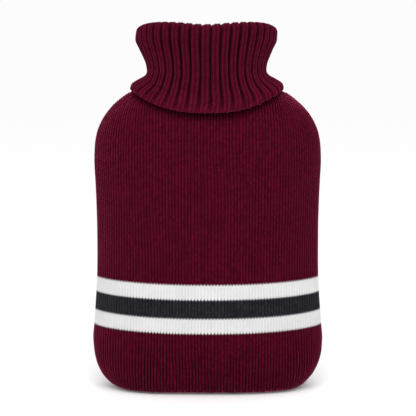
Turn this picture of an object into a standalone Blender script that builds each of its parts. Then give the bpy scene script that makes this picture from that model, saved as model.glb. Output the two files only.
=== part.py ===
"""Knitted hot water bottle cover, standing on its closed bottom: a soft pouch and a folded roll neck.

Sizes are in millimetres until a mesh is made. +X is the right of the front, -Y is the front, +Z is up.
The origin is on the floor, under the middle of the cover.
"""
import math

import bmesh
import bpy

MM = 0.001

# Cloth
POUCH_CLOTH = 2.5
COLLAR_CLOTH = 3.4
SEAM_GAP = 0.4

# Pouch: one row for each level, from the floor edge up to the neck edge. A level is a superellipse
# |x / half_width| ** across + |y / half_depth| ** through = 1.
POUCH_COLUMNS = 48
POUCH_LEVELS = (
    # height, half_width, half_depth, across, through
    (0.0, 74.0, 24.0, 3.6, 3.2),
    (1.3, 82.6, 29.3, 3.3, 2.9),
    (4.0, 89.4, 32.4, 3.0, 2.6),
    (9.0, 95.8, 35.2, 2.7, 2.3),
    (16.0, 101.0, 37.2, 2.5, 2.1),
    (25.0, 105.0, 38.6, 2.4, 1.95),
    (36.0, 107.4, 39.4, 2.3, 1.8),
    (48.0, 108.2, 39.5, 2.25, 1.7),
    (60.0, 107.2, 39.2, 2.25, 1.65),
    (77.0, 105.8, 38.5, 2.2, 1.6),
    (95.0, 104.5, 37.3, 2.2, 1.6),
    (112.0, 103.7, 36.2, 2.2, 1.6),
    (130.0, 103.4, 35.3, 2.2, 1.6),
    (150.0, 103.3, 34.6, 2.2, 1.6),
    (172.0, 103.6, 34.0, 2.2, 1.6),
    (194.0, 104.3, 33.5, 2.2, 1.6),
    (214.0, 105.1, 33.0, 2.2, 1.6),
    (228.0, 104.5, 32.6, 2.2, 1.6),
    (240.0, 102.5, 32.3, 2.2, 1.6),
    (250.0, 98.6, 32.0, 2.2, 1.6),
    (258.0, 93.7, 31.8, 2.2, 1.6),
    (264.5, 88.0, 31.6, 2.2, 1.65),
    (270.0, 81.7, 31.5, 2.15, 1.7),
    (274.5, 75.7, 31.4, 2.1, 1.75),
    (277.0, 71.5, 31.3, 2.1, 1.8),
    (278.8, 65.0, 31.2, 2.0, 1.85),
    (281.0, 58.0, 30.8, 2.0, 1.9),
    (284.5, 52.5, 30.0, 2.0, 1.95),
    (288.0, 50.0, 29.2, 2.0, 2.0),
)

# Roll neck: ribbed cloth that goes up from the neck edge, folds outwards at the rim and comes down to
# a hem. All its levels are those of the middle of the cloth.
RIBS = 42
COLUMNS_PER_RIB = 3
FIRST_GROOVE = math.radians(3.0)
RIB_DEPTH = 2.2
SIDE_RIB_SHARE = 0.65
INNER_RIB_SHARE = 0.5
FOLD_RADIUS = 3.1
FOLD_STEPS = 3
HEM_FRONT_HEIGHT = 261.0
HEM_SIDE_RISE = 18.9
HEM_RISE_POWER = 2.5
HEM_FAN = 0.45
HEM_TURN = 0.03
FAN_REACH = 0.42
RIM_HEIGHT = 341.7
RIM_FRONT_DIP = 2.4
RIM_FRONT_DIP_POWER = 12
RIM_SIDE_DROP = 3.8
RIM_SIDE_DROP_POWER = 12
NECK_SEAM_HEIGHT = POUCH_LEVELS[-1][0] + SEAM_GAP
OUTER_LEG = (
    # share of the way from hem to rim, half_width at the sides, rib spread at the front, half_depth,
    # fullness of the flanks, lean to the left
    (0.000, 68.0, 69.0, 36.2, 0.62, 0.8),
    (0.080, 66.9, 68.5, 36.2, 0.64, 0.4),
    (0.168, 59.3, 66.6, 36.1, 0.70, 0.1),
    (0.205, 55.9, 65.4, 36.0, 0.73, 0.3),
    (0.256, 53.4, 63.4, 35.9, 0.78, 0.6),
    (0.330, 52.2, 60.4, 35.8, 0.85, 0.9),
    (0.460, 53.1, 56.6, 35.8, 0.93, 1.1),
    (0.600, 55.9, 56.2, 36.8, 0.96, 1.2),
    (0.880, 62.2, 60.0, 41.0, 0.97, 1.3),
    (1.000, 62.0, 61.0, 41.9, 0.97, 0.8),
)
INNER_LEG = (
    # share of the way from neck seam to rim, half_width, rib spread, half_depth, fullness, lean
    (1.00, 55.8, 54.8, 35.7, 0.97, 0.8),
    (0.30, 46.2, 46.9, 29.6, 0.97, 0.9),
    (0.00, 48.7, 48.7, 28.4, 1.00, 0.0),
)

# Colours are linear RGB
POUCH_RED = (0.062, 0.0035, 0.012, 1.0)
COLLAR_RED = (0.055, 0.0030, 0.0095, 1.0)


def clear_scene():
    for thing in list(bpy.data.objects):
        bpy.data.objects.remove(thing, do_unlink=True)


def knit_material(name, colour):
    material = bpy.data.materials.new(name)
    material.use_nodes = True
    shader = material.node_tree.nodes["Principled BSDF"]
    shader.inputs["Base Color"].default_value = colour
    shader.inputs["Roughness"].default_value = 0.9
    shader.inputs["Metallic"].default_value = 0.0
    return material


def signed_power(value, power):
    return math.copysign(abs(value) ** power, value)


def add_ring(bm, points):
    return [bm.verts.new((x * MM, y * MM, z * MM)) for x, y, z in points]


def bridge(bm, lower, upper):
    """Quads between two rings that run anticlockwise, seen from above, with their faces outwards."""
    count = len(lower)
    for i in range(count):
        after = (i + 1) % count
        bm.faces.new((lower[i], lower[after], upper[after], upper[i]))


def cloth_object(name, bm, thickness, offset, material):
    """The surface in bm as a closed sheet of cloth."""
    mesh = bpy.data.meshes.new(name)
    bm.to_mesh(mesh)
    bm.free()
    mesh.materials.append(material)
    mesh.shade_smooth()
    cloth = bpy.data.objects.new(name, mesh)
    bpy.context.scene.collection.objects.link(cloth)
    solidify = cloth.modifiers.new("cloth thickness", "SOLIDIFY")
    solidify.thickness = thickness * MM
    solidify.offset = offset
    solidify.use_even_offset = True
    return cloth


def pouch_ring(height, half_width, half_depth, across, through):
    points = []
    for i in range(POUCH_COLUMNS):
        turn = 2 * math.pi * i / POUCH_COLUMNS
        x = half_width * signed_power(math.sin(turn), 2 / across)
        y = -half_depth * signed_power(math.cos(turn), 2 / through)
        points.append((x, y, height))
    return points


def make_pouch():
    """The outer face of the knitted pouch with its flat bottom; the cloth is added inside it."""
    bm = bmesh.new()
    rings = [add_ring(bm, pouch_ring(*level)) for level in POUCH_LEVELS]
    for lower, upper in zip(rings, rings[1:]):
        bridge(bm, lower, upper)
    bm.faces.new(list(reversed(rings[0])))
    return cloth_object("pouch", bm, POUCH_CLOTH, -1.0, knit_material("plain_knit", POUCH_RED))


def hem_height(turn):
    return HEM_FRONT_HEIGHT + HEM_SIDE_RISE * abs(math.sin(turn)) ** HEM_RISE_POWER


def fold_centre_height(turn):
    """The height of the axis that the cloth folds round, under the rim."""
    dip = RIM_FRONT_DIP * math.cos(turn) ** RIM_FRONT_DIP_POWER
    drop = RIM_SIDE_DROP * math.sin(turn) ** RIM_SIDE_DROP_POWER
    over = FOLD_RADIUS + (COLLAR_CLOTH + RIB_DEPTH) / 2
    return RIM_HEIGHT - dip - drop - over


def fanned(turn, share):
    """Ribs near the hem are spread towards the sides, and all lean a little to the left."""
    spread = HEM_FAN * math.sin(turn) ** 5 * math.cos(turn)
    return turn + (spread - HEM_TURN) * max(0.0, 1 - share / FAN_REACH)


def collar_point(turn, height, half_width, spread, half_depth, fullness, lean):
    across = half_width + (spread - half_width) * math.cos(turn) ** 2
    x = across * math.sin(turn) - lean
    y = -half_depth * signed_power(math.cos(turn), fullness)
    return x, y, height


def collar_rings():
    """(points, rib share) of each ring of the cloth's middle, from the hem over the rim to the seam."""
    count = RIBS * COLUMNS_PER_RIB
    turns = [FIRST_GROOVE + 2 * math.pi * i / count for i in range(count)]
    rings = []
    for share, *sizes in OUTER_LEG:
        ring = []
        for turn in (fanned(turn, share) for turn in turns):
            low, high = hem_height(turn), fold_centre_height(turn)
            ring.append(collar_point(turn, low + share * (high - low), *sizes))
        rings.append((ring, 1.0))
    _, half_width, spread, half_depth, fullness, lean = OUTER_LEG[-1]
    for step in range(1, FOLD_STEPS):
        angle = math.pi * step / FOLD_STEPS
        inset = FOLD_RADIUS * (1 - math.cos(angle))
        rise = FOLD_RADIUS * math.sin(angle)
        sizes = (half_width - inset, spread - inset, half_depth - inset, fullness, lean)
        ring = [collar_point(turn, fold_centre_height(turn) + rise, *sizes) for turn in turns]
        rings.append((ring, 1.0 - (1.0 - INNER_RIB_SHARE) * step / FOLD_STEPS))
    for share, *sizes in INNER_LEG:
        ring = []
        for turn in turns:
            low, high = NECK_SEAM_HEIGHT, fold_centre_height(turn)
            ring.append(collar_point(turn, low + share * (high - low), *sizes))
        rings.append((ring, INNER_RIB_SHARE))
    return turns, rings


def make_collar():
    """The folded roll neck. Each rib is two raised columns, and the column before them is its groove."""
    bm = bmesh.new()
    turns, rings = collar_rings()
    made = [add_ring(bm, points) for points, _ in rings]
    for lower, upper in zip(made, made[1:]):
        bridge(bm, lower, upper)
    bm.normal_update()
    for ring, (_, share) in zip(made, rings):
        for i, (vert, turn) in enumerate(zip(ring, turns)):
            depth = RIB_DEPTH * share * (SIDE_RIB_SHARE + (1 - SIDE_RIB_SHARE) * math.cos(turn) ** 2)
            side = -0.5 if i % COLUMNS_PER_RIB == 0 else 0.5
            vert.co += vert.normal * side * depth * MM
    return cloth_object("roll_neck", bm, COLLAR_CLOTH, 0.0, knit_material("rib_knit", COLLAR_RED))


def main():
    clear_scene()
    make_pouch()
    make_collar()


main()
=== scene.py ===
"""A knitted hot water bottle cover, dressed stitch by stitch over its solids.

The pouch is two panels of plain knit that meet down the sides, and the roll neck is one tube of two
by two rib, folded outwards at the rim. Sizes are in millimetres until a mesh is made. +X is the right
of the front, -Y is the front, +Z is up, and the origin is on the floor, as in the frame.
"""
import math

import bpy
import numpy as np
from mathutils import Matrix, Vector


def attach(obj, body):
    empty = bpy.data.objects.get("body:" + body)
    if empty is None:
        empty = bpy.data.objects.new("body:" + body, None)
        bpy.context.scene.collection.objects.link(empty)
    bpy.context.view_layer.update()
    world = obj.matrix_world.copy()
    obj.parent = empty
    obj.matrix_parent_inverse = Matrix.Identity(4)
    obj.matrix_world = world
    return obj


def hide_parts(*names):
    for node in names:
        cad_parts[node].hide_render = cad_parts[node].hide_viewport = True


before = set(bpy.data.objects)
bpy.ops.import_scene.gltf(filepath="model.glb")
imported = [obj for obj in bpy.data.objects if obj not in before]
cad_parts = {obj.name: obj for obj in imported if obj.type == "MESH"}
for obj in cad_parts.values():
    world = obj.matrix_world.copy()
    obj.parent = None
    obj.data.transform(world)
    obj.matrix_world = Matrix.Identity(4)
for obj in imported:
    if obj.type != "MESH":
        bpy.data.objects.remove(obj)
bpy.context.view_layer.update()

MM = 0.001

# -------- sizes of the pouch
POUCH_LEVELS = np.array((
    # height, half_width, half_depth, across, through
    (0.0, 74.0, 24.0, 3.6, 3.2),
    (1.3, 82.6, 29.3, 3.3, 2.9),
    (4.0, 89.4, 32.4, 3.0, 2.6),
    (9.0, 95.8, 35.2, 2.7, 2.3),
    (16.0, 101.0, 37.2, 2.5, 2.1),
    (25.0, 105.0, 38.6, 2.4, 1.95),
    (36.0, 107.4, 39.4, 2.3, 1.8),
    (48.0, 108.2, 39.5, 2.25, 1.7),
    (60.0, 107.2, 39.2, 2.25, 1.65),
    (77.0, 105.8, 38.5, 2.2, 1.6),
    (95.0, 104.5, 37.3, 2.2, 1.6),
    (112.0, 103.7, 36.2, 2.2, 1.6),
    (130.0, 103.4, 35.3, 2.2, 1.6),
    (150.0, 103.3, 34.6, 2.2, 1.6),
    (172.0, 103.6, 34.0, 2.2, 1.6),
    (194.0, 104.3, 33.5, 2.2, 1.6),
    (214.0, 105.1, 33.0, 2.2, 1.6),
    (228.0, 104.5, 32.6, 2.2, 1.6),
    (240.0, 102.5, 32.3, 2.2, 1.6),
    (250.0, 98.6, 32.0, 2.2, 1.6),
    (258.0, 93.7, 31.8, 2.2, 1.6),
    (264.5, 88.0, 31.6, 2.2, 1.65),
    (270.0, 81.7, 31.5, 2.15, 1.7),
    (274.5, 75.7, 31.4, 2.1, 1.75),
    (277.0, 71.5, 31.3, 2.1, 1.8),
    (278.8, 65.0, 31.2, 2.0, 1.85),
    (281.0, 58.0, 30.8, 2.0, 1.9),
    (284.5, 52.5, 30.0, 2.0, 1.95),
    (288.0, 50.0, 29.2, 2.0, 2.0),
))
NECK_EDGE_HEIGHT = POUCH_LEVELS[-1, 0]
PANEL_WALES = 84
HALF_PANEL = PANEL_WALES / 2
COLUMNS_PER_WALE = 4
ROWS_PER_COURSE = 2
COURSE = 1.94
FIRST_COURSE_HEIGHT = 2.35
FINE_COURSES = 142
CLOTH = 2.2
CLOTH_ON_FLOOR = 0.8 * CLOTH
# How many courses the legs of a stitch rise from the middle of a wale to its edges.
SLANT = 1.05
# How sharply wales narrow towards the sides where the panel is narrower: more keeps more at full width.
NARROWING = 4.0

# Hidden cloth is coarse: at the floor edge, under the roll neck and inside.
COARSE_WALES = 2
LOW_HEIGHTS = (0.0, 0.9)
LOW_SUNK = 0.2
HIGH_START = 0.8
INSIDE_HEIGHTS = np.concatenate([
    (0.0, 1.3, 4.0, 9.0, 16.0), np.arange(25.0, 260.0, 9.0),
    (262.0, 266.5, 270.5, 274.5, 277.5, 280.0, 283.0, NECK_EDGE_HEIGHT)])
LOW_COURSES = 14
HIGH_COURSES = 6
FLOOR_SEAM_SHARE = 0.97
FLOOR_MIDDLE_SHARE = 0.55
RISING_FROM = 200.0

# The outline is read closely along the side, and then round a quarter of every tenth level.
PROFILE_STEPS = 3000
LEVEL_STEP = 10
QUARTER_STEPS = 240
TURN_STEPS = 600

# Courses are lower in the middle of a panel than at its sides.
BAND_SAG = 1.9
BAND_SAG_START = 30.0
SHOULDER_SAG = 8.0
SHOULDER_SAG_HEIGHT = 238.0
SHOULDER_SAG_REACH = (95.0, 50.0)

# The pouch is drawn in just under the hem of the roll neck.
CREASE_DEPTH = 7.0
CREASE_RISE = 3.0
CREASE_REACH = (12.5, 18.0)

# Bands, from the bottom up.
GROUND, WHITE, CHARCOAL = 0, 1, 2
FIRST_BAND_COURSE = 29
BANDS = (
    # yarn, courses
    (WHITE, 7),
    (CHARCOAL, 9),
    (WHITE, 7),
)

# -------- sizes of the roll neck
RIBS = 42
RIB_TURN = 2 * math.pi / RIBS
WALES_PER_RIB = 4
FIRST_GROOVE = math.radians(3.0)
NECK_CLOTH = 3.4
SOLID_RIB = 2.2
SIDE_RIB_SHARE = 0.65
SIDE_GROOVE_SHARE = 0.85
INNER_RIB_LOSS = 0.5
FOLD_RADIUS = 3.1
HEM_FRONT_HEIGHT = 261.0
HEM_SIDE_RISE = 18.9
HEM_RISE_POWER = 2.5
HEM_FAN = 0.45
HEM_TURN = 0.03
FAN_REACH = 0.42
RIM_HEIGHT = 341.7
RIM_FRONT_DIP = 2.4
RIM_FRONT_DIP_POWER = 12
RIM_SIDE_DROP = 3.8
RIM_SIDE_DROP_POWER = 12
NECK_SEAM_HEIGHT = 288.4
OUTER_LEG = np.array((
    # share of the way from hem to rim, half_width at the sides, rib spread at the front, half_depth,
    # fullness of the flanks, lean to the left
    (0.000, 68.0, 69.0, 36.2, 0.62, 0.8),
    (0.070, 67.3, 68.6, 36.2, 0.63, 0.5),
    (0.105, 65.1, 68.0, 36.2, 0.65, 0.2),
    (0.168, 59.3, 66.6, 36.1, 0.70, 0.1),
    (0.205, 55.9, 65.4, 36.0, 0.73, 0.3),
    (0.256, 53.4, 63.4, 35.9, 0.78, 0.6),
    (0.330, 52.2, 60.4, 35.8, 0.85, 0.9),
    (0.460, 53.1, 56.6, 35.8, 0.93, 1.1),
    (0.600, 55.9, 56.2, 36.8, 0.96, 1.2),
    (0.740, 59.2, 57.8, 38.7, 0.97, 1.4),
    (0.880, 62.2, 60.0, 41.0, 0.97, 1.3),
    (1.000, 62.0, 61.0, 41.9, 0.97, 0.8),
))
INNER_LEG = np.array((
    # share of the way from neck seam to rim, half_width, rib spread, half_depth, fullness, lean
    (0.00, 48.7, 48.7, 28.4, 1.00, 0.0),
    (0.30, 46.2, 46.9, 29.6, 0.97, 0.9),
    (1.00, 55.8, 54.8, 35.7, 0.97, 0.8),
))
RIB_DEPTH = 3.6
LEG_COURSES = 45
FOLD_COURSES = 9
INNER_COURSES = 14
INNER_COURSE_WAY = 1.6 / 45.0
PLAIN_INNER_ROWS = 8
PLAIN_ROW_COURSES = 3.0
# How the depth of the grooves and the share of a rib that is purl change from the hem to the rim.
GROOVES = np.array((
    # way from hem to rim and over the fold, depth share, purl share
    (0.00, 0.60, 0.34),
    (0.15, 0.75, 0.30),
    (0.35, 1.00, 0.22),
    (0.60, 1.00, 0.20),
    (0.85, 0.90, 0.26),
    (1.00, 0.75, 0.30),
    (1.50, 0.35, 0.32),
    (2.00, 0.45, 0.30),
))
# One rib, from the middle of one groove to the next: two purl wales share the groove and two knit
# wales the ridge. "from_groove" counts purl widths, "on_ridge" ridge widths and "wale" wales.
RIB_COLUMNS = np.array((
    # from_groove, on_ridge, raised, wale, purl
    (0.00, 0.000, 0.00, 0.00, 1.0),
    (0.25, 0.000, 0.06, 0.50, 1.0),
    (0.42, 0.000, 0.16, 0.90, 1.0),
    (0.50, 0.010, 0.62, 1.00, 0.0),
    (0.50, 0.125, 0.92, 1.25, 0.0),
    (0.50, 0.250, 1.00, 1.50, 0.0),
    (0.50, 0.375, 0.99, 1.75, 0.0),
    (0.50, 0.500, 0.96, 2.00, 0.0),
    (0.50, 0.625, 0.99, 2.25, 0.0),
    (0.50, 0.750, 1.00, 2.50, 0.0),
    (0.50, 0.875, 0.92, 2.75, 0.0),
    (0.50, 0.990, 0.62, 3.00, 0.0),
    (0.58, 1.000, 0.16, 3.10, 1.0),
    (0.75, 1.000, 0.06, 3.50, 1.0),
))
HIDDEN_COLUMNS_PER_RIB = 3
HIDDEN_SIDE = 2.3
HIDDEN_COURSES = 40
HIDDEN_WAYS = np.concatenate([np.linspace(3, 2, 8), np.linspace(1.8, 1.2, 4), np.linspace(1, 0.06, 12),
                              (0.035, 0.015, 0.0)])

# The ribs wander a little: slowly round the neck, and quicker away from the hem.
SLOW_SWAY, SLOW_WAVES, SLOW_START = 0.006, 2, 1.1
QUICK_SWAY, QUICK_WAVES, QUICK_DRIFT = 0.004, 5, 2.5

# The hem: rounded, notched at the grooves, and edged with a chain of loops.
HEM_ROUNDING = 1.7
HEM_MIDDLE = 0.2
HEM_NOTCH = 2.4
HEM_NOTCH_REACH = 0.06
CAST_OFF_LIFTS = (0.1, 0.9, 0.9, 0.1)
CAST_OFF_RISE = 1.3
CAST_OFF_SUNK = 0.6
GROOVE_RISE = 2.2
LOOP_LENGTH = 1.15
LOOP_WIDTH = 0.72
LOOP_YARN = 0.5
LOOP_STEPS = 10
LOOP_YARN_STEPS = 6

# -------- stitches
STITCH_HEIGHT = 0.58
RIB_STITCH_HEIGHT = 0.34
STITCH_PROUD = 0.15
CROWN_FILL = 1.4
COURSE_DIP = 0.45
# How deep the wales of the pouch show, from the bottom up. The same depth scales the painted shade in their
# grooves, which is deepest near the floor and just under the hem of the roll neck, where the hem's shadow
# falls.
WALE_DEPTHS = np.array((
    # (course, depth)
    (0.0, 2.15), (14.0, 1.95), (23.0, 1.35), (28.0, 0.9), (52.0, 0.85), (62.0, 0.7), (78.0, 0.55),
    (104.0, 0.55), (116.0, 0.8), (124.0, 0.95), (129.0, 1.2), (132.0, 1.9), (142.0, 2.0),
))
SIDE_WALES = 1.6
SIDE_WALE_DEPTH = 0.25
# Uneven knitting. Steps are the rows and wales from one random value to the next.
WANDER, WANDER_STEPS = 0.35, (60, 12)
WALE_JITTER, JITTER_STEPS = 0.07, (22, 1)
WANDER_SIDE_FADE = 8
RELIEF_SPREAD, RELIEF_STEPS = 0.22, (16, 1)
PATCH_SPREAD, PATCH_STEPS = 0.5, (44, 8)

# -------- bake map
# (left, bottom, right, top) of each block of cloth.
PANEL_MAP = {"low": (0.02, 0.01, 0.98, 0.03), "fine": (0.02, 0.05, 0.98, 0.80),
             "high": (0.02, 0.82, 0.98, 0.84), "inside": (0.02, 0.86, 0.98, 0.99)}
NECK_MAP = {"outside": (0.02, 0.02, 0.98, 0.86), "inside": (0.02, 0.88, 0.98, 0.98)}
# Each run of faces that closes a seam has its own thin strip at the left.
STRIP_START, STRIP_STEP, STRIP_HEIGHT = 0.001, 0.002, 0.98
STRIP_FACE = np.array(((0.0, 0.0), (0.0004, 0.0), (0.0, 0.004)))


# -------- node helpers
class Graph:
    """Lays nodes into a tree. A value is a number, a colour or another node's output."""

    def __init__(self, tree):
        self.tree = tree

    def feed(self, socket, value):
        if isinstance(value, bpy.types.NodeSocket):
            self.tree.links.new(value, socket)
        else:
            socket.default_value = value

    def add(self, kind, inputs=(), **settings):
        made = self.tree.nodes.new(kind)
        for name, value in settings.items():
            setattr(made, name, value)
        for name, value in dict(inputs).items():
            self.feed(made.inputs[name], value)
        return made

    def math(self, operation, *values):
        return self.add("ShaderNodeMath", enumerate(values), operation=operation).outputs[0]

    def product(self, first, *others):
        for other in others:
            first = self.math("MULTIPLY", first, other)
        return first

    def vector(self, operation, inputs):
        return self.add("ShaderNodeVectorMath", inputs, operation=operation).outputs[0]

    def ramp(self, value, span, ends=(0.0, 1.0), interpolation="SMOOTHSTEP"):
        """Turns the span of a value into the span between the ends."""
        return self.add("ShaderNodeMapRange", {
            "Value": value, "From Min": span[0], "From Max": span[1], "To Min": ends[0],
            "To Max": ends[1]}, interpolation_type=interpolation).outputs[0]

    def about_one(self, value, middle, spread):
        """1 where the value is the middle, and the spread more for each unit above it."""
        return self.math("MULTIPLY_ADD", self.math("SUBTRACT", value, middle), spread, 1.0)

    def attribute(self, name, kind="FLOAT"):
        made = self.add("GeometryNodeInputNamedAttribute", {"Name": name}, data_type=kind)
        return made.outputs["Attribute"]


def add_sockets(tree, direction, **names):
    """Adds sockets to a tree, as names for each kind of socket."""
    for kind, kind_names in names.items():
        for name in kind_names:
            tree.interface.new_socket(name=name, in_out=direction, socket_type="NodeSocket" + kind)


def socket_identifier(tree, name):
    for item in tree.interface.items_tree:
        if item.item_type == "SOCKET" and item.in_out == "INPUT" and item.name == name:
            return item.identifier
    raise KeyError(name)


# -------- geometry nodes
def knit_relief_tree():
    """Raises ribs and stitches along the normals of a smooth cloth, and gives each yarn its material."""
    tree = bpy.data.node_groups.new("knit relief", "GeometryNodeTree")
    add_sockets(tree, "INPUT", Geometry=["Cloth"],
                Float=["Rib Depth", "Stitch Height", "Crown Fill", "Course Dip"],
                Material=["Ground Yarn", "White Yarn", "Charcoal Yarn"])
    add_sockets(tree, "OUTPUT", Geometry=["Cloth"])
    graph = Graph(tree)
    given = graph.add("NodeGroupInput").outputs

    def raised(cloth, height):
        normal = graph.add("GeometryNodeInputNormal").outputs["Normal"]
        offset = graph.vector("SCALE", {"Vector": normal, "Scale": height})
        return graph.add("GeometryNodeSetPosition", {"Geometry": cloth, "Offset": offset}).outputs[0]

    across = graph.attribute("across_stitch")
    purl = graph.attribute("purl")
    leg = graph.math("ABSOLUTE", graph.math("SINE", graph.product(across, 2 * math.pi)))
    crown = graph.math("POWER", graph.math("SINE", graph.product(across, math.pi)), 2.0)
    wave = graph.math("COSINE", graph.product(graph.attribute("along_stitch"), 2 * math.pi))
    gap = graph.math("MULTIPLY_ADD", wave, -0.5, 0.5)
    dipped = graph.math("SUBTRACT", 1.0, graph.product(gap, given["Course Dip"]))
    knit = graph.product(graph.math("MULTIPLY_ADD", crown, given["Crown Fill"], leg), dipped,
                         graph.math("SUBTRACT", 1.0, purl))
    bar = graph.product(crown, graph.math("SUBTRACT", 1.0, gap), purl)
    stitch = graph.product(graph.math("ADD", knit, bar), given["Stitch Height"],
                           graph.attribute("stitch_share"))
    rib = graph.product(graph.attribute("rib_raised"), given["Rib Depth"])

    cloth = raised(raised(given["Cloth"], rib), stitch)
    cloth = graph.add("GeometryNodeRealizeInstances", {"Geometry": cloth}).outputs[0]
    yarn = graph.attribute("yarn")
    for number, name in ((GROUND, "Ground Yarn"), (WHITE, "White Yarn"), (CHARCOAL, "Charcoal Yarn")):
        chosen = graph.math("COMPARE", yarn, float(number), 0.5)
        cloth = graph.add("GeometryNodeSetMaterial", {
            "Geometry": cloth, "Selection": chosen, "Material": given[name]}).outputs[0]
    graph.add("NodeGroupOutput", {"Cloth": cloth})
    return tree


def cast_off_tree():
    """One small loop of yarn on each point, turned to lie along the hem."""
    tree = bpy.data.node_groups.new("cast-off loops", "GeometryNodeTree")
    add_sockets(tree, "INPUT", Geometry=["Places"], Float=["Loop Length", "Loop Width", "Yarn Radius"],
                Material=["Yarn"])
    add_sockets(tree, "OUTPUT", Geometry=["Loops"])
    graph = Graph(tree)
    given = graph.add("NodeGroupInput").outputs
    ring = graph.add("GeometryNodeCurvePrimitiveCircle", {
        "Resolution": LOOP_STEPS, "Radius": given["Loop Length"]})
    round_yarn = graph.add("GeometryNodeCurvePrimitiveCircle", {
        "Resolution": LOOP_YARN_STEPS, "Radius": given["Yarn Radius"]})
    loop = graph.add("GeometryNodeCurveToMesh", {
        "Curve": ring.outputs["Curve"], "Profile Curve": round_yarn.outputs["Curve"]})
    scale = graph.add("ShaderNodeCombineXYZ", {"X": 1.0, "Y": given["Loop Width"], "Z": 1.0})
    flat = graph.add("GeometryNodeTransform", {"Geometry": loop.outputs[0], "Scale": scale.outputs[0]})
    turned = graph.add("FunctionNodeAxesToRotation", {
        "Primary Axis": graph.attribute("outward", "FLOAT_VECTOR"),
        "Secondary Axis": graph.attribute("along_hem", "FLOAT_VECTOR")},
        primary_axis="Z", secondary_axis="X")
    placed = graph.add("GeometryNodeInstanceOnPoints", {
        "Points": given["Places"], "Instance": flat.outputs[0], "Rotation": turned.outputs[0]})
    real = graph.add("GeometryNodeRealizeInstances", {"Geometry": placed.outputs[0]})
    smooth = graph.add("GeometryNodeSetShadeSmooth", {"Geometry": real.outputs[0]})
    painted = graph.add("GeometryNodeSetMaterial", {"Geometry": smooth.outputs[0], "Material": given["Yarn"]})
    graph.add("NodeGroupOutput", {"Loops": painted.outputs[0]})
    return tree


def settle(piece, tree, values):
    """Gives the piece the tree with these inputs, and keeps what it makes as the piece's own mesh."""
    modifier = piece.modifiers.new(tree.name, "NODES")
    modifier.node_group = tree
    for name, value in values.items():
        modifier[socket_identifier(tree, name)] = value
    bpy.context.view_layer.update()
    evaluated = piece.evaluated_get(bpy.context.evaluated_depsgraph_get())
    made = bpy.data.meshes.new_from_object(evaluated)
    smooth_cloth = piece.data
    piece.modifiers.clear()
    piece.data = made
    bpy.data.meshes.remove(smooth_cloth)
    made.name = piece.name
    return piece


# -------- cloth meshes
WORK_VALUES = ("across_stitch", "along_stitch", "purl", "stitch_share", "rib_raised")
POINT_VALUES = WORK_VALUES + ("wale_depth",)


def quads(grid):
    """The four corners of each cell between rows and columns, anticlockwise from the lower left."""
    return [grid[:-1, :-1], grid[:-1, 1:], grid[1:, 1:], grid[1:, :-1]]


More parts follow.
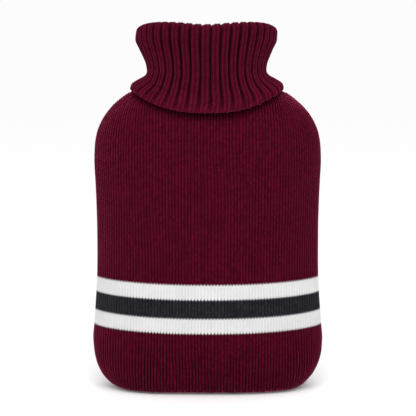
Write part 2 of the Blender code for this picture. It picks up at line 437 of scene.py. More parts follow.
class Cloth:
    """The points and faces of one piece of cloth while it is laid out."""

    def __init__(self):
        self.points = []
        self.values = {name: [] for name in POINT_VALUES}
        self.count = 0
        self.faces = []
        self.stitches = []
        self.bakes = []
        self.yarns = []

    def add_points(self, points, **values):
        """Adds rows of points and returns their numbers, in the same rows."""
        shape = points.shape[:2]
        self.points.append(points.reshape(-1, 3))
        for name in POINT_VALUES:
            plain = 1.0 if name == "wale_depth" else 0.0
            self.values[name].append(np.broadcast_to(values.get(name, plain), shape).ravel())
        numbers = self.count + np.arange(shape[0] * shape[1]).reshape(shape)
        self.count += numbers.size
        return numbers

    def add_grid(self, numbers, stitch, box, yarn=GROUND, closed=False, inside_out=False):
        """Quads between rows of points. stitch is (wale, course) for each point, with one column more
        where the rows are closed rings, and box is the rows' place on the bake map."""
        if closed:
            numbers = np.concatenate([numbers, numbers[:, :1]], axis=1)
        faces = np.stack([corner.ravel() for corner in quads(numbers)], axis=1)
        stitches, bakes = (np.stack([corner.reshape(-1, 2) for corner in quads(grid)], axis=1)
                           for grid in (stitch, bake_grid(*numbers.shape, box)))
        if inside_out:
            faces, stitches, bakes = faces[:, ::-1], stitches[:, ::-1], bakes[:, ::-1]
        self.faces.append(faces)
        self.stitches.append(stitches)
        self.bakes.append(bakes)
        rows, columns = numbers.shape[0] - 1, numbers.shape[1] - 1
        self.yarns.append(np.broadcast_to(yarn, (rows, columns)).ravel())

    def join(self, lower, upper, lower_at, upper_at, strip):
        """Triangles between two runs of points, each with its own spacing."""
        faces = []
        i, j = 0, 0
        while i < len(lower) - 1 or j < len(upper) - 1:
            if j == len(upper) - 1 or (i < len(lower) - 1 and lower_at[i + 1] <= upper_at[j + 1]):
                faces.append((lower[i], lower[i + 1], upper[j]))
                i += 1
            else:
                faces.append((lower[i], upper[j + 1], upper[j]))
                j += 1
        self.faces.append(np.array(faces))
        self.stitches.append(np.zeros((len(faces), 3, 2)))
        up = np.linspace(0, STRIP_HEIGHT, len(faces))[:, None, None]
        start = (STRIP_START + strip * STRIP_STEP, STRIP_START)
        self.bakes.append(STRIP_FACE + start + up * (0.0, 1.0))
        self.yarns.append(np.zeros(len(faces)))

    def build(self, name):
        points = np.concatenate(self.points) * MM
        loops = [len(face) for block in self.faces for face in block]
        vertices = np.concatenate([block.ravel() for block in self.faces])
        mesh = bpy.data.meshes.new(name)
        mesh.vertices.add(len(points))
        mesh.vertices.foreach_set("co", points.astype(np.float32).ravel())
        mesh.loops.add(len(vertices))
        mesh.loops.foreach_set("vertex_index", vertices.astype(np.int32))
        starts = np.concatenate([[0], np.cumsum(loops)[:-1]])
        mesh.polygons.add(len(loops))
        mesh.polygons.foreach_set("loop_start", starts.astype(np.int32))
        mesh.update(calc_edges=True)
        for layer, blocks in (("OFBake", self.bakes), ("stitch", self.stitches)):
            uv = mesh.uv_layers.new(name=layer)
            flat = np.concatenate([block.reshape(-1, 2) for block in blocks])
            uv.uv.foreach_set("vector", flat.astype(np.float32).ravel())
        for value in POINT_VALUES:
            attribute = mesh.attributes.new(value, "FLOAT", "POINT")
            attribute.data.foreach_set("value", np.concatenate(self.values[value]).astype(np.float32))
        yarn = mesh.attributes.new("yarn", "FLOAT", "FACE")
        yarn.data.foreach_set("value", np.concatenate(self.yarns).astype(np.float32))
        mesh.shade_smooth()
        mesh.validate()
        piece = bpy.data.objects.new(name, mesh)
        bpy.context.scene.collection.objects.link(piece)
        return piece


def bake_grid(rows, columns, box):
    """Places on the bake map for rows of points, inside the box."""
    left, bottom, right, top = box
    return pairs(np.linspace(left, right, columns)[None, :], np.linspace(bottom, top, rows)[:, None])


def pairs(across, up):
    """(across, up) for each point of a grid."""
    return np.stack(np.broadcast_arrays(across, up), axis=-1)


def drop_work_values(piece):
    for name in WORK_VALUES + ("yarn",):
        if name in piece.data.attributes:
            piece.data.attributes.remove(piece.data.attributes[name])


def smooth_curve(at, knots, values):
    """A curve through the values at the knots that keeps between its neighbours."""
    at = np.asarray(at, float)
    flat = at.ravel()
    values = np.asarray(values, float).reshape(len(knots), -1)
    gap = np.diff(knots)[:, None]
    slope = np.diff(values, axis=0) / gap
    near, far = 2 * gap[1:] + gap[:-1], gap[1:] + 2 * gap[:-1]
    rising = slope[:-1] * slope[1:] > 0
    safe_before = np.where(rising, slope[:-1], 1.0)
    safe_after = np.where(rising, slope[1:], 1.0)
    middle = np.where(rising, (near + far) / (near / safe_before + far / safe_after), 0.0)
    tangent = np.concatenate([slope[:1], middle, slope[-1:]])
    cell = np.clip(np.searchsorted(knots, flat) - 1, 0, len(knots) - 2)
    width = gap[cell]
    t = np.clip((flat - knots[cell])[:, None] / width, 0, 1)
    made = ((1 + 2 * t) * (1 - t) ** 2 * values[cell] + t * (1 - t) ** 2 * width * tangent[cell]
            + t * t * (3 - 2 * t) * values[cell + 1] + t * t * (t - 1) * width * tangent[cell + 1])
    return made.reshape(at.shape + (values.shape[1],))


def lopsided_hump(at, middle, reach):
    """1 at the middle, falling smoothly to 0 at its own distance below and above."""
    below, above = reach
    share = (at - middle) / np.where(at < middle, below, above)
    return np.clip(1 - share ** 2, 0, 1) ** 2


def unit(vectors):
    return vectors / np.maximum(np.linalg.norm(vectors, axis=-1, keepdims=True), 1e-9)


def yarn_of(course):
    """The yarn of the courses that start here."""
    starts = FIRST_BAND_COURSE + np.cumsum([0] + [courses for _, courses in BANDS])
    band = np.searchsorted(starts, course + 0.001) - 1
    yarns = np.array([yarn for yarn, _ in BANDS] + [GROUND])
    return np.where(band < 0, GROUND, yarns[np.clip(band, 0, len(BANDS))])


def slow_noise(shape, steps, seed):
    """Smooth random values from -1 to 1 over rows and columns, with a new value every so many steps."""
    draw = np.random.default_rng(seed)
    rows, columns = (int(math.ceil(count / step)) + 3 for count, step in zip(shape, steps))
    knots = draw.uniform(-1, 1, (rows, columns))
    for axis, (count, step) in enumerate(zip(shape, steps)):
        at = np.arange(count) / step + 1
        cell = at.astype(int)
        t = at - cell
        t = t * t * (3 - 2 * t)
        knots = np.moveaxis(knots, axis, -1)
        knots = knots[..., cell] * (1 - t) + knots[..., cell + 1] * t
        knots = np.moveaxis(knots, -1, axis)
    return knots


# -------- pouch
def pouch_profile():
    """The pouch's levels, read closely along its side."""
    steps = np.hypot(np.diff(POUCH_LEVELS[:, 0]), np.diff(POUCH_LEVELS[:, 1]))
    along = np.concatenate([[0], np.cumsum(steps)])
    return smooth_curve(np.linspace(0, along[-1], PROFILE_STEPS), along, POUCH_LEVELS)


PROFILE = pouch_profile()


def quarter_turns():
    """For some levels: x and y of a quarter of the outline, as shares of its half sizes, at even
    steps of its length from the middle to the side, and that length."""
    levels = PROFILE[::LEVEL_STEP]
    turn = (1 - np.cos(np.linspace(0, math.pi, TURN_STEPS))) * math.pi / 4
    shares = np.linspace(0, 1, QUARTER_STEPS + 1)
    x_rows, y_rows, lengths = [], [], []
    for _, half_width, half_depth, across, through in levels:
        x = np.sin(turn) ** (2 / across)
        y = np.clip(np.cos(turn), 0, 1) ** (2 / through)
        steps = np.hypot(np.diff(x) * half_width, np.diff(y) * half_depth)
        along = np.concatenate([[0], np.cumsum(steps)])
        x_rows.append(np.interp(shares * along[-1], along, x))
        y_rows.append(np.interp(shares * along[-1], along, y))
        lengths.append(along[-1])
    return levels[:, 0], np.array(x_rows), np.array(y_rows), np.array(lengths)


LEVEL_HEIGHTS, QUARTER_X, QUARTER_Y, QUARTER_LENGTH = quarter_turns()
LONGEST_QUARTER = QUARTER_LENGTH.max()


def pouch_points(place, height):
    """Points of the front panel's outer face. place is -1 at its left side, 0 in the middle and 1 at
    its right side, counted in wales, which keep their width in the middle and narrow at the sides."""
    place, height = np.broadcast_arrays(place, height)
    level = np.interp(height, LEVEL_HEIGHTS, np.arange(len(LEVEL_HEIGHTS)))
    length = np.interp(height, LEVEL_HEIGHTS, QUARTER_LENGTH) / LONGEST_QUARTER
    wide = np.abs(place) / length
    share = wide / (1 + (1 - length ** NARROWING) * wide ** NARROWING) ** (1 / NARROWING)
    share = np.clip(share, 0, 1)
    row = np.clip(level.astype(int), 0, len(LEVEL_HEIGHTS) - 2)
    up = level - row
    column = np.clip((share * QUARTER_STEPS).astype(int), 0, QUARTER_STEPS - 1)
    along = share * QUARTER_STEPS - column

    def read(table):
        lower = table[row, column] * (1 - along) + table[row, column + 1] * along
        upper = table[row + 1, column] * (1 - along) + table[row + 1, column + 1] * along
        return lower * (1 - up) + upper * up

    half_width = np.interp(height, PROFILE[:, 0], PROFILE[:, 1])
    half_depth = np.interp(height, PROFILE[:, 0], PROFILE[:, 2])
    x = np.sign(place) * half_width * read(QUARTER_X)
    y = -half_depth * read(QUARTER_Y)
    out = np.clip(np.abs(x) / OUTER_LEG[0, 1], 0, 1)
    crease = HEM_FRONT_HEIGHT + HEM_SIDE_RISE * out ** HEM_RISE_POWER + CREASE_RISE
    y *= 1 - CREASE_DEPTH * lopsided_hump(height, crease, CREASE_REACH) / half_depth
    return np.stack([x, y, height], axis=-1)


def side_rise(place, height):
    """How much higher a course is at this place than in the middle of the panel."""
    hump = lopsided_hump(height, SHOULDER_SAG_HEIGHT, SHOULDER_SAG_REACH)
    fade = np.clip(height / BAND_SAG_START, 0, 1)
    return (BAND_SAG * fade + SHOULDER_SAG * hump) * place ** 2


def outward_normals(points):
    """Normals of rows of points, by what lies on each side of a point."""
    return unit(np.cross(np.gradient(points, axis=1), np.gradient(points, axis=0)))


def coarse_rows(place, heights):
    """Rows from the seam under the floor edge up through these heights."""
    edge = pouch_points(place[None, :], np.zeros((1, 1)))
    seam = edge * (FLOOR_SEAM_SHARE, 0.0, 1.0)
    under = edge * ((1 + FLOOR_SEAM_SHARE) / 2, FLOOR_MIDDLE_SHARE, 1.0)
    height = np.broadcast_to(np.asarray(heights)[:, None], (len(heights), len(place)))
    risen = height + side_rise(place[None, :], height) * (height > RISING_FROM)
    return np.concatenate([seam, under, pouch_points(place[None, :], np.minimum(risen, NECK_EDGE_HEIGHT))])


def inside_rows(place):
    """The inner face of a panel, a cloth's thickness inside its outer face."""
    skin = coarse_rows(place, INSIDE_HEIGHTS)
    normal = outward_normals(skin)
    normal[:, (0, -1), 1] = 0
    normal[0] = (0, 0, -1)
    inside = skin - unit(normal) * CLOTH
    inside[:, :, 2] = np.maximum(inside[:, :, 2], CLOTH_ON_FLOOR)
    return inside


def wale_shifts(wale, seed):
    """How far the columns of each row wander sideways, in wales."""
    rows = FINE_COURSES * ROWS_PER_COURSE + 1
    wander = slow_noise((rows, PANEL_WALES + 1), WANDER_STEPS, seed) * WANDER
    wander += slow_noise((rows, PANEL_WALES + 1), JITTER_STEPS, seed + 1) * WALE_JITTER
    to_side = 1 - np.abs(np.arange(PANEL_WALES + 1) / HALF_PANEL - 1)
    wander *= np.clip(to_side * WANDER_SIDE_FADE, 0, 1)
    left = np.minimum(wale.astype(int), PANEL_WALES - 1)
    share = wale - left
    return wander[:, left] * (1 - share) + wander[:, left + 1] * share


def wale_depths(wale, course, seed):
    """How deep each wale shows at each row: by height, by chance, and little at the sides. It sets both the
    relief and the painted shade in the grooves.
    """
    shape = (len(course), PANEL_WALES)
    uneven = 1 + RELIEF_SPREAD * slow_noise(shape, RELIEF_STEPS, seed)
    patches = 1 + PATCH_SPREAD * slow_noise(shape, PATCH_STEPS, seed + 1)
    by_course = np.interp(course, WALE_DEPTHS[:, 0], WALE_DEPTHS[:, 1])[:, None]
    left = np.minimum(wale.astype(int), PANEL_WALES - 1)
    to_side = np.clip(np.minimum(wale, PANEL_WALES - wale) / SIDE_WALES, 0, 1)
    return (uneven * patches * by_course)[:, left] * (SIDE_WALE_DEPTH + (1 - SIDE_WALE_DEPTH) * to_side)


def run_shares(points):
    steps = np.linalg.norm(np.diff(points, axis=0), axis=1)
    along = np.concatenate([[0], np.cumsum(steps)])
    return along / along[-1]


def make_panel(name, behind, seed):
    """One panel as a closed thin shell: knitted outside, plain and coarse where it is hidden."""
    columns = np.arange(PANEL_WALES * COLUMNS_PER_WALE + 1)
    wale = columns / COLUMNS_PER_WALE
    across = wale % 1.0
    place = wale / HALF_PANEL - 1
    course = np.arange(FINE_COURSES * ROWS_PER_COURSE + 1) / ROWS_PER_COURSE
    zigzag = SLANT * np.abs(2 * across - 1)
    level = FIRST_COURSE_HEIGHT + COURSE * (course[:, None] + zigzag[None, :])
    height = level + side_rise(place[None, :], level)

    fine = pouch_points(place[None, :] + wale_shifts(wale, seed) / HALF_PANEL, height)
    depth = wale_depths(wale, course, seed + 2)
    fine -= outward_normals(fine) * (STITCH_HEIGHT * (1 + CROWN_FILL / 2) - STITCH_PROUD)

    coarse = columns[::COLUMNS_PER_WALE * COARSE_WALES]
    coarse_place = place[coarse]
    low = coarse_rows(coarse_place, LOW_HEIGHTS)
    low[2:] -= outward_normals(low)[2:] * LOW_SUNK
    low[:, :, 2] = np.maximum(low[:, :, 2], 0.0)
    top = height[-1].max()
    high_heights = np.array([top + HIGH_START, (top + NECK_EDGE_HEIGHT) / 2, NECK_EDGE_HEIGHT])
    high = pouch_points(coarse_place[None, :], high_heights[:, None])
    inside = inside_rows(coarse_place)
    if behind:
        half_turn = (-1.0, -1.0, 1.0)
        fine, low, high, inside = (rows * half_turn for rows in (fine, low, high, inside))

    cloth = Cloth()
    low_ids = cloth.add_points(low)
    fine_ids = cloth.add_points(fine, across_stitch=across[None, :], wale_depth=depth,
                                stitch_share=0.5 + 0.5 * depth, along_stitch=(course % 1.0)[:, None])
    high_ids = cloth.add_points(high)
    inside_ids = cloth.add_points(inside)

    coarse_wale = wale[coarse][None, :]
    low_course = np.linspace(-LOW_COURSES, 0, len(low))
    high_course = course[-1] + np.linspace(1, HIGH_COURSES, len(high))
    inside_course = np.linspace(-LOW_COURSES, course[-1] + HIGH_COURSES, len(inside))
    cloth.add_grid(low_ids, pairs(coarse_wale, low_course[:, None]), PANEL_MAP["low"])
    cloth.add_grid(fine_ids, pairs(wale[None, :], course[:, None]), PANEL_MAP["fine"],
                   yarn_of(course[:-1])[:, None])
    cloth.add_grid(high_ids, pairs(coarse_wale, high_course[:, None]), PANEL_MAP["high"])
    cloth.add_grid(inside_ids, pairs(coarse_wale, inside_course[:, None]), PANEL_MAP["inside"],
                   yarn_of(inside_course[:-1])[:, None], inside_out=True)

    cloth.join(low_ids[-1], fine_ids[0], coarse_place, place, strip=0)
    cloth.join(fine_ids[-1], high_ids[0], place, coarse_place, strip=1)
    cloth.join(inside_ids[0], low_ids[0], coarse_place, coarse_place, strip=2)
    cloth.join(high_ids[-1], inside_ids[-1], coarse_place, coarse_place, strip=3)
    for side, strip in ((0, 4), (-1, 5)):
        outer = np.concatenate([ids[:, side] for ids in (low_ids, fine_ids, high_ids)])
        outer_at = run_shares(np.concatenate([rows[:, side] for rows in (low, fine, high)]))
        inner, inner_at = inside_ids[:, side], run_shares(inside[:, side])
        if side == 0:
            cloth.join(outer, inner, outer_at, inner_at, strip)
        else:
            cloth.join(inner, outer, inner_at, outer_at, strip)
    return cloth.build(name)


# -------- roll neck
def signed_power(value, power):
    return np.sign(value) * np.abs(value) ** power


def side_share(turn, at_sides):
    """A share that is 1 at the front and back and less at the sides."""
    return at_sides + (1 - at_sides) * np.cos(turn) ** 2


def hem_height(turn):
    return HEM_FRONT_HEIGHT + HEM_SIDE_RISE * np.abs(np.sin(turn)) ** HEM_RISE_POWER


def fold_centre_height(turn):
    dip = RIM_FRONT_DIP * np.cos(turn) ** RIM_FRONT_DIP_POWER
    drop = RIM_SIDE_DROP * np.sin(turn) ** RIM_SIDE_DROP_POWER
    return RIM_HEIGHT - dip - drop - (FOLD_RADIUS + (NECK_CLOTH + SOLID_RIB) / 2)


def rib_turn(rib, way):
    """Where a rib stands round the neck. Ribs wander a little, are spread towards the sides near the
    hem, and all lean a little to the left there."""
    turn = FIRST_GROOVE + rib * RIB_TURN
    slow = SLOW_SWAY * np.sin(SLOW_WAVES * turn + SLOW_START)
    quick = QUICK_SWAY * np.sin(QUICK_WAVES * turn + QUICK_DRIFT * way) * np.clip(way, 0, 1)
    turn = turn + slow + quick
    spread = HEM_FAN * np.sin(turn) ** 5 * np.cos(turn)
    return turn + (spread - HEM_TURN) * np.clip(1 - way / FAN_REACH, 0, 1)


def neck_middle(turn, way):
    """The middle of the ribbed cloth. way is 0 at the hem, 1 where the fold starts, 2 where it ends
    and 3 at the neck seam."""
    turn, way = np.broadcast_arrays(turn, way)
    centre = fold_centre_height(turn)
    outer = smooth_curve(np.clip(way, 0, 1), OUTER_LEG[:, 0], OUTER_LEG[:, 1:])
    inner = smooth_curve(np.clip(3 - way, 0, 1), INNER_LEG[:, 0], INNER_LEG[:, 1:])
    angle = math.pi * np.clip(way - 1, 0, 1)
    inset = FOLD_RADIUS * (1 - np.cos(angle))
    sizes = np.where((way <= 2)[..., None], outer, inner)
    sizes = sizes - np.where((way > 1) & (way <= 2), inset, 0)[..., None] * (1, 1, 1, 0, 0)
    low = hem_height(turn)
    height = np.where(way <= 1, low + way * (centre - low), centre + FOLD_RADIUS * np.sin(angle))
    height = np.where(way > 2, NECK_SEAM_HEIGHT + (3 - way) * (centre - NECK_SEAM_HEIGHT), height)
    half_width, spread, half_depth, fullness, lean = np.moveaxis(sizes, -1, 0)
    across = half_width + (spread - half_width) * np.cos(turn) ** 2
    x = across * np.sin(turn) - lean
    y = -half_depth * signed_power(np.cos(turn), fullness)
    return np.stack([x, y, height], axis=-1)


def neck_normal(turn, way):
    nudge = 0.004
    along = neck_middle(turn + nudge, way) - neck_middle(turn - nudge, way)
    up = neck_middle(turn, np.clip(way + nudge, 0, 3)) - neck_middle(turn, np.clip(way - nudge, 0, 3))
    return unit(np.cross(along, up))


def way_of(course):
    """Courses counted from the hem over the fold and down inside, as the way along the cloth."""
    knots = np.cumsum([0, LEG_COURSES, FOLD_COURSES, INNER_COURSES])
    return np.interp(course, knots, (0.0, 1.0, 2.0, 2 + INNER_COURSES * INNER_COURSE_WAY))


def groove_sizes(way):
    """(depth share, purl share) of the grooves."""
    return np.moveaxis(smooth_curve(np.clip(way, 0, 2), GROOVES[:, 0], GROOVES[:, 1:]), -1, 0)


def hem_rounding(way, turn):
    """1 over most of the cloth, falling to 0 in a quarter circle at the hem."""
    length = fold_centre_height(turn) - hem_height(turn)
    from_edge = np.clip(1 - way * length / HEM_ROUNDING, 0, 0.98)
    return np.sqrt(1 - from_edge ** 2)


def make_roll_neck():
    """The ribbed tube as a closed thin shell, from the hem over the rim and down to the neck seam."""
    from_groove, on_ridge, raised, wale, purl = RIB_COLUMNS.T
    rib = np.arange(RIBS)
    raised, across, purl = (np.tile(column, RIBS) for column in (raised, wale % 1.0, purl))
    wale = (rib[:, None] * WALES_PER_RIB + wale - 1).ravel()

    fine_courses = LEG_COURSES + FOLD_COURSES + INNER_COURSES
    course = np.arange(fine_courses * ROWS_PER_COURSE + 1) / ROWS_PER_COURSE
    zigzag = SLANT * (1 - np.abs(2 * across - 1)) * (1 - purl)
    course_at = np.clip(course[:, None] + zigzag[None, :], 0, fine_courses)
    course_at[-1] = fine_courses
    plain_way = np.linspace(way_of(float(fine_courses)), 3.0, PLAIN_INNER_ROWS + 1)[1:]
    way = np.concatenate([way_of(course_at), np.repeat(plain_way[:, None], len(wale), axis=1)])

    row_purl = groove_sizes(way.mean(axis=1))[1][:, None]
    within = row_purl * from_groove + (1 - row_purl) * on_ridge
    turn = rib_turn((rib[None, :, None] + within[:, None, :]).reshape(len(way), len(wale)), way)
    solid_rib = side_share(turn, SIDE_RIB_SHARE) * (1 - INNER_RIB_LOSS * np.clip(way - 1, 0, 1))
    crest = NECK_CLOTH / 2 + SOLID_RIB / 2 * solid_rib
    share = groove_sizes(way)[0] * side_share(turn, SIDE_GROOVE_SHARE)
    ground = crest - RIB_DEPTH * share - RIB_STITCH_HEIGHT * (1 + CROWN_FILL / 2) + STITCH_PROUD
    rounding = hem_rounding(way, turn)
    ground = HEM_MIDDLE + (ground - HEM_MIDDLE) * rounding
    share = share * rounding
    outside = neck_middle(turn, way) + neck_normal(turn, way) * ground[..., None]
    outside[..., 2] += HEM_NOTCH * (1 - raised[None, :]) * np.clip(1 - way / HEM_NOTCH_REACH, 0, 1)

    cloth = Cloth()
    knitted = (np.arange(len(way)) < len(course))[:, None]
    along = np.concatenate([course % 1.0, np.zeros(PLAIN_INNER_ROWS)])[:, None]
    ids = cloth.add_points(outside, across_stitch=across[None, :], purl=purl[None, :], along_stitch=along,
                           stitch_share=knitted * 1.0, rib_raised=raised[None, :] * share)
    plain_course = fine_courses + np.arange(1, PLAIN_INNER_ROWS + 1) * PLAIN_ROW_COURSES
    closed_wale = np.append(wale, wale[0] + WALES_PER_RIB * RIBS)
    stitch = pairs(closed_wale[None, :], np.concatenate([course, plain_course])[:, None])
    cloth.add_grid(ids, stitch, NECK_MAP["outside"], closed=True)

    hidden_count = RIBS * HIDDEN_COLUMNS_PER_RIB
    hidden_turn = FIRST_GROOVE + np.arange(hidden_count) * (2 * math.pi / hidden_count)
    hidden_at = hidden_turn[None, :], HIDDEN_WAYS[:, None]
    level = HEM_MIDDLE - (HEM_MIDDLE + HIDDEN_SIDE) * hem_rounding(hidden_at[1], hidden_at[0])
    hidden_ids = cloth.add_points(neck_middle(*hidden_at) + neck_normal(*hidden_at) * level[..., None])
    hidden_wale = np.arange(hidden_count + 1) * WALES_PER_RIB / HIDDEN_COLUMNS_PER_RIB
    cloth.add_grid(hidden_ids, pairs(hidden_wale[None, :], HIDDEN_WAYS[:, None] * HIDDEN_COURSES),
                   NECK_MAP["inside"], closed=True)

    def ring(numbers, round_trip=0):
        return np.append(numbers, numbers[0] + round_trip)

    hem_at, seam_at, hidden_round = (ring(turns, 2 * math.pi) for turns in (turn[0], turn[-1], hidden_turn))
    cloth.join(ring(ids[-1]), ring(hidden_ids[0]), seam_at, hidden_round, strip=0)
    cloth.join(ring(hidden_ids[-1]), ring(ids[0]), hidden_round, hem_at, strip=1)
    return cloth.build("ribbed_roll_neck")


def make_cast_off(yarn):
    """A chain of loops along the hem, two over each ridge and two in each groove."""
    depth, purl = groove_sizes(0.0)
    ridge = 1 - purl
    centres = np.array((0.25 * purl, 0.5 * purl + 0.25 * ridge, 0.5 * purl + 0.75 * ridge, 1 - 0.25 * purl))
    turn = rib_turn((np.arange(RIBS)[:, None] + centres[None, :]).ravel(), 0.0)
    lift = np.tile(CAST_OFF_LIFTS, RIBS)
    crest = NECK_CLOTH / 2 + SOLID_RIB / 2 * side_share(turn, SIDE_RIB_SHARE)
    level = crest - RIB_DEPTH * depth * side_share(turn, SIDE_GROOVE_SHARE) * (1 - lift) - CAST_OFF_SUNK
    normal = neck_normal(turn, 0.0)
    along = unit(neck_middle(turn + 0.01, 0.0) - neck_middle(turn - 0.01, 0.0))
    points = neck_middle(turn, 0.0) + normal * level[:, None]
    points[:, 2] += CAST_OFF_RISE + GROOVE_RISE * (1 - lift)
    mesh = bpy.data.meshes.new("cast_off_edge")
    mesh.from_pydata((points * MM).tolist(), [], [])
    for name, vectors in (("outward", normal), ("along_hem", along)):
        attribute = mesh.attributes.new(name, "FLOAT_VECTOR", "POINT")
        attribute.data.foreach_set("vector", vectors.astype(np.float32).ravel())
    piece = bpy.data.objects.new("cast_off_edge", mesh)
    bpy.context.scene.collection.objects.link(piece)
    return settle(piece, cast_off_tree(), {
        "Loop Length": LOOP_LENGTH * MM, "Loop Width": LOOP_WIDTH,
        "Yarn Radius": LOOP_YARN * MM, "Yarn": yarn})


# -------- materials
# Across a stitch, 0 is the middle of the wale and 1 its edge. Along it, 0 is the gap between courses.
# Where painted shade falls in a stitch: the groove at the wale's edges, and a hole beside each stitch, which
# fades as the wales deepen.
WALE_GROOVE = (0.35, 0.95)
HOLE_ACROSS = (0.25, 0.75)
HOLE_ALONG = (0.14, 0.36)
HOLE_FADE, HOLE_START = -0.7, 1.3
# Across a rib, 0 is the middle of the groove and 0.5 that of the ridge.
RIB_GROOVE = (0.215, 0.28)
# Where the painted highlight along each edge of a ridge lies, and how far it reaches.
RIB_EDGE, RIB_EDGE_REACH = 0.355, (0.0, 0.065)
# Courses up the roll neck over which the painted shade in its grooves deepens, and fades again. Over the
# first, the painted light near the hem fades out.
HEM_COURSES, HEM_SHADE = (1.0, 16.0), (0.35, 1.0)
RIM_COURSES, RIM_SHADE = (34.0, 46.0), (1.0, 0.6)
STREAK_STRETCH = (0.9, 0.07, 1.0)
FIBRE_SCALE = 1100.0
CLOUD_SCALE = 38.0
CLOUD_SPREAD = 0.16
TWIST_TURNS, TWIST_RISE = 7.0, 2.0
TWIST_SHARE = 0.3

# Each yarn has its own colour, and a darker shaded colour that is painted into its grooves and holes as
# painted shade.
YARN_COLOURS = ("Yarn Colour", "Shaded Colour")
# Groove Shade, Hole Shade and Rib Shade set painted shade; Deep Wale Light, Rib Edge Light and Hem Light set
# painted light.
YARN_LOOKS = ("Groove Shade", "Hole Shade", "Deep Wale Light", "Rib Shade", "Rib Edge Light", "Hem Light",
              "Stitch Spread", "Wale Spread", "Heather", "Twist", "Fuzz")
WINE, WINE_SHADE = (0.0722, 0.0023, 0.0127, 1.0), (0.0115, 0.0004, 0.0016, 1.0)
# The roll neck's wine is the pouch's wine painted darker, as painted shade.
NECK_WINE, NECK_SHADE = (0.0590, 0.0023, 0.0110, 1.0), (0.0080, 0.0003, 0.0012, 1.0)
CREAM_WHITE, CREAM_SHADE = (0.70, 0.694, 0.697, 1.0), (0.42, 0.41, 0.415, 1.0)
CHARCOAL_GREY, CHARCOAL_SHADE = (0.0210, 0.0201, 0.0248, 1.0), (0.0022, 0.0020, 0.0028, 1.0)
WINE_SHEEN, NECK_SHEEN = (0.8, 0.13, 0.25, 1.0), (0.25, 0.04, 0.08, 1.0)
CREAM_SHEEN, CHARCOAL_SHEEN = (1.0, 1.0, 1.0, 1.0), (0.2, 0.2, 0.22, 1.0)
YARNS = (
    # name, sheen tint, the two colours, and the looks in the order of their names
    ("wine yarn", WINE_SHEEN, (WINE, WINE_SHADE),
     (0.54, 1.2, 0.06, 0.0, 0.0, 0.0, 0.5, 0.3, 1.1, 0.35, 0.5)),
    # The roll neck's yarn is painted darker than the pouch's, as painted shade, and its cast-off loops take
    # the pouch's lighter wine without painted shade, as a painted highlight along the hem.
    ("neck wine yarn", NECK_SHEEN, (NECK_WINE, NECK_SHADE),
     (0.12, 1.3, 0.0, 0.98, 0.1, 0.45, 0.4, 0.2, 0.7, 0.35, 0.5)),
    ("cast-off wine yarn", NECK_SHEEN, (WINE, NECK_SHADE),
     (0.0, 0.0, 0.0, 0.0, 0.0, 0.0, 0.2, 0.2, 0.7, 0.35, 0.5)),
    ("white yarn", CREAM_SHEEN, (CREAM_WHITE, CREAM_SHADE),
     (0.08, 0.6, 0.0, 0.0, 0.0, 0.0, 0.05, 0.03, 0.1, 0.35, 0.5)),
    ("charcoal yarn", CHARCOAL_SHEEN, (CHARCOAL_GREY, CHARCOAL_SHADE),
     (0.3, 1.5, 0.0, 0.0, 0.0, 0.0, 0.6, 0.3, 1.0, 0.35, 0.5)),
)


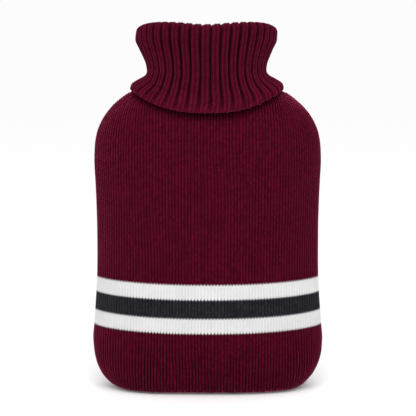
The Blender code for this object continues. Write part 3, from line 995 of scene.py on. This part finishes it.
def knit_yarn_group():
    """Colour and height of knitted yarn, from its place in the stitches and its place in space, with painted
    shade and painted light in the colour.
    """
    tree = bpy.data.node_groups.new("knit yarn", "ShaderNodeTree")
    add_sockets(tree, "INPUT", Vector=["Stitch", "Place"], Color=YARN_COLOURS,
                Float=("Wale Depth",) + YARN_LOOKS)
    add_sockets(tree, "OUTPUT", Color=["Colour"], Float=["Height"])
    graph = Graph(tree)
    given = graph.add("NodeGroupInput").outputs
    split = graph.add("ShaderNodeSeparateXYZ", {"Vector": given["Stitch"]}).outputs
    across = graph.math("FRACT", split["X"])
    along = graph.math("FRACT", split["Y"])

    # Painted shade of one stitch, towards the shaded colour: in the groove between two wales, more where the
    # wales are deeper, and in a small hole beside each stitch, more where they are shallower.
    to_edge = graph.math("ABSOLUTE", graph.math("MULTIPLY_ADD", across, 2.0, -1.0))
    to_gap = graph.math("ABSOLUTE", graph.math("SUBTRACT", along, 0.5))
    gap = graph.ramp(to_gap, HOLE_ALONG, (1.0, 0.0))
    groove = graph.product(graph.ramp(to_edge, WALE_GROOVE), given["Groove Shade"], given["Wale Depth"])
    shallow = graph.math("MULTIPLY_ADD", given["Wale Depth"], HOLE_FADE, HOLE_START)
    hole = graph.product(graph.ramp(to_edge, HOLE_ACROSS), gap, given["Hole Shade"],
                         graph.math("MAXIMUM", shallow, 0.0))
    shade = graph.math("MINIMUM", graph.math("MAXIMUM", groove, hole), 1.0)

    # Painted shade of a rib in its groove, deeper between hem and rim, and the place of the painted highlight
    # on the edges of its ridge.
    rib = graph.math("FRACT", graph.math("MULTIPLY_ADD", split["X"], 1 / WALES_PER_RIB, -1 / WALES_PER_RIB))
    from_groove = graph.math("ABSOLUTE", graph.math("SUBTRACT", rib, 0.5))
    to_rib_edge = graph.math("ABSOLUTE", graph.math("SUBTRACT", from_groove, RIB_EDGE))
    near_hem = graph.ramp(split["Y"], HEM_COURSES, HEM_SHADE, "LINEAR")
    near_rim = graph.ramp(split["Y"], RIM_COURSES, RIM_SHADE, "LINEAR")
    rib_shade = graph.product(graph.ramp(from_groove, RIB_GROOVE, (1.0, 0.0)), given["Rib Shade"],
                              near_hem, near_rim)

    # Uneven yarn: from stitch to stitch, from wale to wale, in its fibres and over the whole cloth. Painted
    # light as well: crests lighter where the wales are deeper, a painted highlight along the edges of each
    # ridge, and the roll neck painted lighter towards its hem.
    whole_stitch = graph.vector("FLOOR", {0: given["Stitch"]})
    each = graph.add("ShaderNodeTexWhiteNoise", {"Vector": whole_stitch}, noise_dimensions="2D")
    stretched = graph.vector("MULTIPLY", {0: given["Stitch"], 1: STREAK_STRETCH})
    streak = graph.add("ShaderNodeTexNoise", {"Vector": stretched, "Scale": 1.0, "Detail": 2.0,
                                              "Roughness": 0.6}, noise_dimensions="2D").outputs[0]
    fibre = graph.add("ShaderNodeTexNoise", {"Vector": given["Place"], "Scale": FIBRE_SCALE,
                                             "Detail": 3.0, "Roughness": 0.65}).outputs[0]
    cloud = graph.add("ShaderNodeTexNoise", {"Vector": given["Place"], "Scale": CLOUD_SCALE,
                                             "Detail": 2.0, "Roughness": 0.5}).outputs[0]
    tone_and_painted_light = graph.product(
        graph.about_one(each.outputs["Value"], 0.5, given["Stitch Spread"]),
        graph.about_one(streak, 0.5, given["Wale Spread"]),
        graph.about_one(fibre, 0.5, given["Heather"]),
        graph.about_one(cloud, 0.5, CLOUD_SPREAD),
        graph.about_one(given["Wale Depth"], 1.0, given["Deep Wale Light"]),
        graph.about_one(graph.ramp(to_rib_edge, RIB_EDGE_REACH, (1.0, 0.0)), 0.0, given["Rib Edge Light"]),
        graph.about_one(graph.math("SUBTRACT", 1.0, near_hem), 0.0, given["Hem Light"]))

    mixed = graph.add("ShaderNodeMix", {
        "Factor": graph.math("MAXIMUM", shade, rib_shade), 6: given["Yarn Colour"],
        7: given["Shaded Colour"]}, data_type="RGBA")
    colour = graph.vector("SCALE", {"Vector": mixed.outputs[2], "Scale": tone_and_painted_light})
    leg = graph.math("ABSOLUTE", graph.math("SINE", graph.product(across, 2 * math.pi)))
    plies = graph.math("ADD", graph.product(across, TWIST_TURNS), graph.product(along, TWIST_RISE))
    twist = graph.product(graph.math("SINE", graph.product(plies, 2 * math.pi)), given["Twist"], TWIST_SHARE)
    height = graph.math("ADD", graph.product(leg, graph.math("SUBTRACT", 1.0, gap)),
                        graph.math("MULTIPLY_ADD", fibre, given["Fuzz"], twist))
    graph.add("NodeGroupOutput", {"Colour": colour, "Height": height})
    return tree


def yarn_material(group, name, sheen_tint, colours, looks):
    """A yarn's material. colours and looks are in the order of YARN_COLOURS and YARN_LOOKS."""
    material = bpy.data.materials.new(name)
    material.use_nodes = True
    graph = Graph(material.node_tree)
    shader = material.node_tree.nodes["Principled BSDF"].inputs
    knit = graph.add("ShaderNodeGroup", node_tree=group)
    graph.feed(knit.inputs["Stitch"], graph.add("ShaderNodeUVMap", uv_map="stitch").outputs["UV"])
    graph.feed(knit.inputs["Place"], graph.add("ShaderNodeTexCoord").outputs["Object"])
    depth = graph.add("ShaderNodeAttribute", attribute_name="wale_depth")
    graph.feed(knit.inputs["Wale Depth"], depth.outputs["Fac"])
    for socket, value in zip(YARN_COLOURS + YARN_LOOKS, colours + looks):
        graph.feed(knit.inputs[socket], value)
    bump = graph.add("ShaderNodeBump", {"Strength": 0.6, "Distance": 0.00025,
                                        "Height": knit.outputs["Height"]})
    graph.feed(shader["Base Color"], knit.outputs["Colour"])
    graph.feed(shader["Normal"], bump.outputs["Normal"])
    shader["Roughness"].default_value = 0.95
    shader["Specular IOR Level"].default_value = 0.02
    shader["Sheen Weight"].default_value = 1.0
    shader["Sheen Roughness"].default_value = 0.34
    shader["Sheen Tint"].default_value = sheen_tint
    return material


# -------- studio
CAMERA_PLACE = (0.0003, -1.2, 0.35)
CAMERA_ANGLE = math.radians(18.1)
CAMERA_AIM_HEIGHT = 0.17
SKY_STRENGTH = 0.976
FLOOR_HALF = 6.0
FLOOR_HEIGHT = -0.0002
FLOOR_PAPER = 0.955
FLOOR_GLOW = 0.04
SOFTBOXES = (
    # name, place, aim, size, power
    ("near softbox", (0.0, -0.42, 0.68), (0.0, 0.0, 0.30), (0.5, 0.3), 1.9),
    ("front softbox", (0.0, -1.5, 0.9), (0.0, 0.0, 0.17), (0.6, 0.6), 3.3),
    ("high softbox", (0.0, -0.22, 1.5), (0.0, -0.12, 0.0), (0.4, 0.3), 1.2),
)


def make_studio():
    scene = bpy.context.scene
    scene.view_settings.view_transform = "Standard"
    scene.view_settings.look = "None"
    world = bpy.data.worlds.new("studio")
    scene.world = world
    world.use_nodes = True
    backdrop = world.node_tree.nodes["Background"]
    backdrop.inputs["Color"].default_value = (1.0, 1.0, 1.0, 1.0)
    backdrop.inputs["Strength"].default_value = SKY_STRENGTH

    floor_mesh = bpy.data.meshes.new("floor")
    corners = [(x * FLOOR_HALF, y * FLOOR_HALF, 0) for x, y in ((-1, -1), (1, -1), (1, 1), (-1, 1))]
    floor_mesh.from_pydata(corners, [], [(0, 1, 2, 3)])
    floor = bpy.data.objects.new("floor", floor_mesh)
    scene.collection.objects.link(floor)
    floor.location.z = FLOOR_HEIGHT
    paper = bpy.data.materials.new("pale paper")
    paper.use_nodes = True
    shader = paper.node_tree.nodes["Principled BSDF"].inputs
    shader["Base Color"].default_value = (FLOOR_PAPER, FLOOR_PAPER, FLOOR_PAPER, 1.0)
    shader["Roughness"].default_value = 1.0
    shader["Specular IOR Level"].default_value = 0.0
    shader["Emission Color"].default_value = (1.0, 1.0, 1.0, 1.0)
    shader["Emission Strength"].default_value = FLOOR_GLOW
    floor_mesh.materials.append(paper)

    for name, place, aim, size, power in SOFTBOXES:
        lamp_data = bpy.data.lights.new(name, "AREA")
        lamp_data.shape = "RECTANGLE"
        lamp_data.size, lamp_data.size_y = size
        lamp_data.energy = power
        lamp = bpy.data.objects.new(name, lamp_data)
        scene.collection.objects.link(lamp)
        lamp.location = place
        lamp.rotation_euler = (Vector(aim) - Vector(place)).to_track_quat("-Z", "Y").to_euler()


def make_camera():
    data = bpy.data.cameras.new("camera")
    data.sensor_width = 36.0
    data.angle = CAMERA_ANGLE
    data.dof.use_dof = False
    camera = bpy.data.objects.new("camera", data)
    bpy.context.scene.collection.objects.link(camera)
    camera.location = CAMERA_PLACE
    pitch = math.atan2(CAMERA_PLACE[2] - CAMERA_AIM_HEIGHT, -CAMERA_PLACE[1])
    camera.rotation_euler = (math.pi / 2 - pitch, 0.0, 0.0)
    bpy.context.scene.camera = camera


# -------- assembly
make_camera()
make_studio()
yarn_group = knit_yarn_group()
wine, neck_wine, cast_off_wine, white, charcoal = (yarn_material(yarn_group, *yarn) for yarn in YARNS)
relief = knit_relief_tree()
stitches = {"Crown Fill": CROWN_FILL, "Course Dip": COURSE_DIP}
front = make_panel("front_panel", behind=False, seed=11)
back = make_panel("back_panel", behind=True, seed=31)
neck = make_roll_neck()
for panel in (front, back):
    settle(panel, relief, {"Rib Depth": 0.0, "Stitch Height": STITCH_HEIGHT * MM, "Ground Yarn": wine,
                           "White Yarn": white, "Charcoal Yarn": charcoal, **stitches})
settle(neck, relief, {"Rib Depth": RIB_DEPTH * MM, "Stitch Height": RIB_STITCH_HEIGHT * MM,
                      "Ground Yarn": neck_wine, "White Yarn": neck_wine, "Charcoal Yarn": neck_wine,
                      **stitches})
for piece in (front, back, neck):
    drop_work_values(piece)
cast_off = make_cast_off(cast_off_wine)

for panel in (front, back):
    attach(panel, "root")
    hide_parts("pouch")
for piece in (neck, cast_off):
    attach(piece, "root")
    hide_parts("roll_neck")

bpy.context.view_layer.update()
